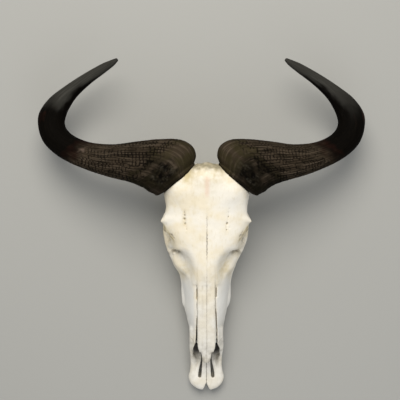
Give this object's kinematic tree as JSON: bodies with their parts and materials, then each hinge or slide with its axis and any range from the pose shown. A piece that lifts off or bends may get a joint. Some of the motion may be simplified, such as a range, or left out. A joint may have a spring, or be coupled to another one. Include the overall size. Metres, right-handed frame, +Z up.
{
  "type": "blue wildebeest skull",
  "caption": "Dry skull of a blue wildebeest bull with broad curved horns and no lower jaw, lying on its cheek teeth.",
  "frame": {"origin": "middle of the outer box, on the surface that the skull lies on", "axes": "+Z up; -Y towards the tip of the muzzle and +Y towards the horn tips; +X towards the animal's left horn"},
  "size_m": [0.6768, 0.6983, 0.2157],
  "materials": {
    "bone": "matte",
    "horn": "satin",
    "enamel": "satin"
  },
  "bodies": {
    "root": {"cranium": "bone", "horn_left": "horn", "horn_right": "horn", "premolar_2_left": "enamel", "premolar_3_left": "enamel", "premolar_4_left": "enamel", "molar_1_left": "enamel", "molar_2_left": "enamel", "molar_3_left": "enamel", "premolar_2_right": "enamel", "premolar_3_right": "enamel", "premolar_4_right": "enamel", "molar_1_right": "enamel", "molar_2_right": "enamel", "molar_3_right": "enamel"}
  },
  "joints": []
}
